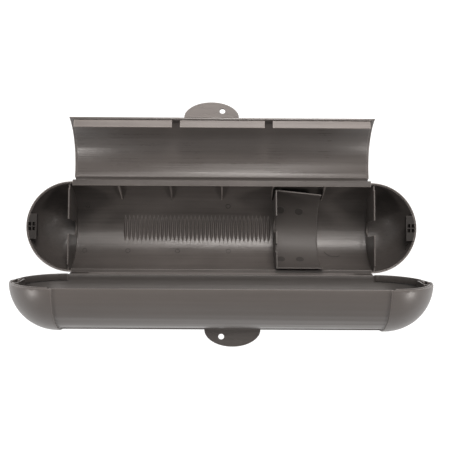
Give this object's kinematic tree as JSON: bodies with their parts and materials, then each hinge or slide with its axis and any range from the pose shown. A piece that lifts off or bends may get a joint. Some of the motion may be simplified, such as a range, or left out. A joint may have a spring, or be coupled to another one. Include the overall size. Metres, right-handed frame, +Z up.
{
  "type": "tubular bait station",
  "caption": "Capsule-shaped rodent bait station shown open: base trough, hinged lid, hinged cover flap and a loose bait tray; tabs with a shared hole lock it shut.",
  "frame": {"origin": "on the floor, under the middle of the base trough, on the sole of the middle foot", "axes": "+X along the tube, +Y to the rear where the cover flap is hinged, +Z up out of the open trough"},
  "size_m": [0.4138, 0.2474, 0.1533],
  "materials": {
    "base_plastic": "moulded, semi-matte",
    "lid_plastic": "moulded, semi-matte",
    "flap_plastic": "moulded, semi-matte",
    "tray_plastic": "moulded, semi-matte",
    "web_plastic": "moulded, semi-matte"
  },
  "bodies": {
    "base": {"base_trough": "base_plastic", "rear_hinge_flange": "base_plastic", "front_hinge_flange": "base_plastic", "flange_gussets": "base_plastic", "floor_ribs": "base_plastic", "left_baffle": "base_plastic", "right_baffle": "base_plastic", "left_lock_socket": "base_plastic", "right_lock_socket": "base_plastic", "left_foot": "base_plastic", "middle_foot": "base_plastic", "right_foot": "base_plastic", "rear_hinge_web": "web_plastic", "front_hinge_web": "web_plastic"},
    "lid": {"lid_shell": "lid_plastic", "left_rim_tongues": "lid_plastic", "right_rim_tongues": "lid_plastic", "left_lock_prongs": "lid_plastic", "right_lock_prongs": "lid_plastic", "lid_lock_tab": "lid_plastic"},
    "flap": {"flap_panel": "flap_plastic", "flap_lips": "flap_plastic", "flap_lock_tab": "flap_plastic"},
    "tray": {"bait_tray": "tray_plastic", "tray_end_wall": "tray_plastic"}
  },
  "joints": [
    {"name": "lid_hinge", "type": "hinge", "parent": "base", "child": "lid", "pos_m": [0, -0.0496, 0.0562], "axis": [1, 0, 0], "range_deg": [-97.4, 50]},
    {"name": "flap_hinge", "type": "hinge", "parent": "base", "child": "flap", "pos_m": [0, 0.0503, 0.0565], "axis": [1, 0, 0], "range_deg": [-33, 105.8]},
    {"name": "tray_lift", "type": "slide", "parent": "base", "child": "tray", "axis": [0, 0, 1], "range_m": [0, 0.008]}
  ]
}
